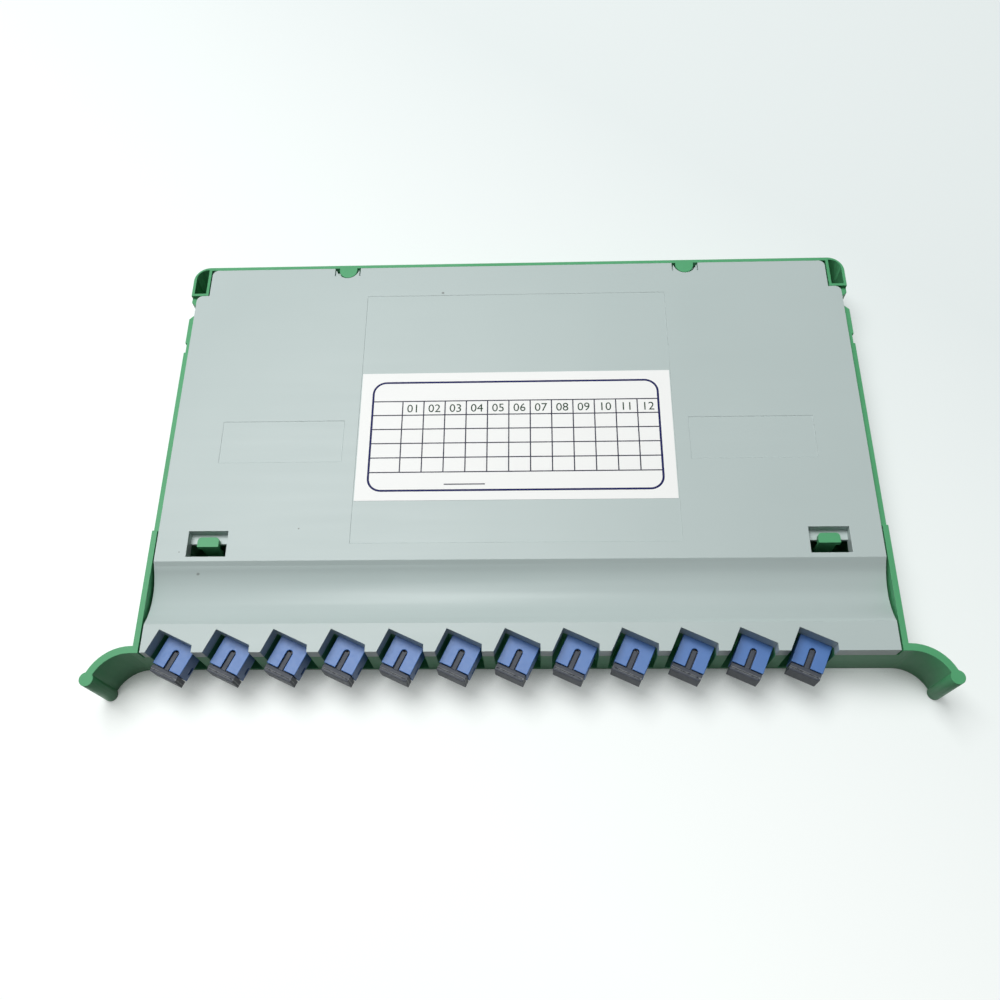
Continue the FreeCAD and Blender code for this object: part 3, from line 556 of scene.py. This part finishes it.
# %% Numbers over the columns
def number_mesh(text, size_mm):
    """A text as a mesh about the origin, in millimetres."""
    curve = bpy.data.curves.new("number", "FONT")
    curve.body = text
    curve.size = size_mm
    curve.align_x = "CENTER"
    curve.resolution_u = 3
    holder = bpy.data.objects.new("number", curve)
    scene.collection.objects.link(holder)
    bpy.context.view_layer.update()
    mesh = bpy.data.meshes.new_from_object(holder.evaluated_get(bpy.context.evaluated_depsgraph_get()))
    bpy.data.objects.remove(holder)
    return mesh


NUMBER_SIZE, NUMBER_Y = 6.0, 21.3
number_corners, number_faces = [], []
for column, port in zip(columns, PORTS):
    flat = number_mesh(port, NUMBER_SIZE)
    first = len(number_corners)
    number_corners += [(column + COLUMN_PITCH / 2 + v.co.x, NUMBER_Y + v.co.y) for v in flat.vertices]
    number_faces += [tuple(first + index for index in face.vertices) for face in flat.polygons]
print_piece("label_numbers", number_corners, number_faces, leaf)

# %% [markdown]
# ## The studio
#
# The photograph is high-key: white floor, light from above and the left, soft shadows. The floor is white to
# the camera and greyer to the light that bounces off it, so that the object's sides keep their depth. Its
# colour is also painted greyer towards the right and the rear, as painted shade where the lamp's light falls
# off.
# Part of the white is a glow, darkened by ambient occlusion where the object stands close: a painted contact
# shadow, like the shade a real floor gets under a soft sky. Far from the object it glows evenly, in the
# backdrop's colour, so that no hard horizon shows. From a low view a soft grey band is left, where the lamp's
# light has faded and the even glow has not yet taken over.

# %% Floor
FLOOR_REACH = 6.0
FLOOR_DROP_MM = 0.05
# Painted shade across the floor: where it starts and how fast it greys to the right and the rear.
SHADE_HERE, SHADE_PER_X, SHADE_PER_Y = 0.38, 1.8, 2.2
FADE_FROM, FADE_TO = 0.6, 1.6
# Reach and ramp of the painted contact shadow beside and under the object.
CONTACT_SHADOW_MM = 26
CONTACT_SHADOW_STOPS = [(0.28, 0.0), (0.46, 0.72), (0.8, 1.0)]
BACKDROP = colour(0.90, 0.925, 0.92)


def grey(value):
    return colour(value, value, value)


def seen_rays(tree):
    """One for rays from the camera, off gloss or through glass, nought for other bounced light."""
    ray = Wire.add(tree, "ShaderNodeLightPath", output="Is Camera Ray")
    return (ray + ray.beside("Is Glossy Ray") + ray.beside("Is Transmission Ray")).clamped()


def white_floor():
    material, tree, shader, place = start_finish("floor", Roughness=0.9, Specular_IOR_Level=0.0)
    seen = seen_rays(tree)
    side = Wire.add(tree, "ShaderNodeSeparateXYZ", None, {"Vector": place}, output="X")
    depth = side.beside("Y")
    # Painted shade: the floor's white and glow turn greyer towards the right and the rear, as the lamp's
    # light falls off.
    shade = (SHADE_HERE + side * SHADE_PER_X + depth * SHADE_PER_Y).clamped()
    white = blend(tree, shade, colour(0.65, 0.67, 0.66), colour(0.51, 0.54, 0.54))
    away = Wire.add(tree, "ShaderNodeVectorMath", {"operation": "LENGTH"}, {0: place}, output="Value")
    far = ((away - FADE_FROM) * (1 / (FADE_TO - FADE_FROM))).clamped()
    white = blend(tree, far, white, grey(0.02))
    Wire.feed(shader.inputs["Base Color"], blend(tree, seen, grey(0.26), white))
    glow = blend(tree, shade, colour(0.44, 0.46, 0.45), colour(0.33, 0.36, 0.355))
    nearby = {"Distance": CONTACT_SHADOW_MM * MM}
    # Painted contact shadow: the glow is darkened by ambient occlusion near the object.
    unblocked = Wire.add(tree, "ShaderNodeAmbientOcclusion", {"samples": 8}, nearby, output="AO")
    lit = Wire.add(tree, "ShaderNodeValToRGB", {"stops": CONTACT_SHADOW_STOPS}, {"Fac": unblocked})
    glow = blend(tree, lit, grey(0.01), glow)
    glow = blend(tree, far, glow, BACKDROP)
    Wire.feed(shader.inputs["Emission Color"], blend(tree, seen, grey(0.0), glow))
    shader.inputs["Emission Strength"].default_value = 1.0
    return material


floor_mesh = bpy.data.meshes.new("floor")
floor_ways = [(-1, -1), (1, -1), (1, 1), (-1, 1)]
floor_mesh.from_pydata([(FLOOR_REACH * x, FLOOR_REACH * y, 0) for x, y in floor_ways], [], [(0, 1, 2, 3)])
floor_mesh.materials.append(white_floor())
floor = bpy.data.objects.new("floor", floor_mesh)
floor.location.z = -FLOOR_DROP_MM * MM
scene.collection.objects.link(floor)
print("floor", 2 * FLOOR_REACH, "m wide")

# %% [markdown]
# ## The light
#
# A large lamp overhead, a little to the left and the rear, gives the sheen along the trough and the soft
# shadows in front. The world fills the rest: bright overhead and dimmer towards the horizon, as in a room
# with a white ceiling. Where it is seen, it has the backdrop's colour.

# %% Lamp and world
LAMP_PLACE = Vector((-0.40, 0.50, 1.68))
LAMP_SIDE = 1.05
LAMP_RADIANCE = 8.8
WALL_HERE, WALL_PER_X, WALL_PER_Y = 0.36, 0.6, 0.42
CEILING_SHARE, WALL_SHARE = 0.6, 0.45


def add_lamp(name, place, side, radiance):
    """A square lamp that faces the origin, with the radiance that its face shows."""
    data = bpy.data.lights.new(name, "AREA")
    data.shape = "SQUARE"
    data.size = side
    data.energy = radiance * math.pi * side * side
    lamp = bpy.data.objects.new(name, data)
    lamp.matrix_world = Matrix.Translation(place) @ place.to_track_quat("Z", "Y").to_matrix().to_4x4()
    scene.collection.objects.link(lamp)
    print(name, "lamp", round(data.energy, 1), "W")


def fill_world():
    """Light from all round, shaped like a room, behind the backdrop's even colour."""
    world = bpy.data.worlds.new("room")
    world.use_nodes = True
    scene.world = world
    tree = world.node_tree
    sky = tree.nodes["Background"]
    way = Wire.add(tree, "ShaderNodeTexCoord", output="Generated")
    rightward = Wire.add(tree, "ShaderNodeSeparateXYZ", None, {"Vector": way}, output="X")
    rearward, upward = rightward.beside("Y"), rightward.beside("Z")
    walls = (WALL_HERE - rightward * WALL_PER_X + rearward * WALL_PER_Y).clamped()
    ceiling = CEILING_SHARE * upward * upward
    bright = (ceiling + WALL_SHARE * walls * (1 - upward * 0.5)).clamped()
    room = blend(tree, bright, grey(0.01), colour(0.28, 0.285, 0.285))
    Wire.feed(sky.inputs["Color"], blend(tree, seen_rays(tree), room, BACKDROP))
    sky.inputs["Strength"].default_value = 1.0


add_lamp("key", LAMP_PLACE, LAMP_SIDE, LAMP_RADIANCE)
fill_world()
scene.view_settings.view_transform = "Standard"
print("world", scene.world.name, "seen through", scene.view_settings.view_transform)

# %% [markdown]
# ## Sizes
#
# The dressed object must stay inside the box of the solids.
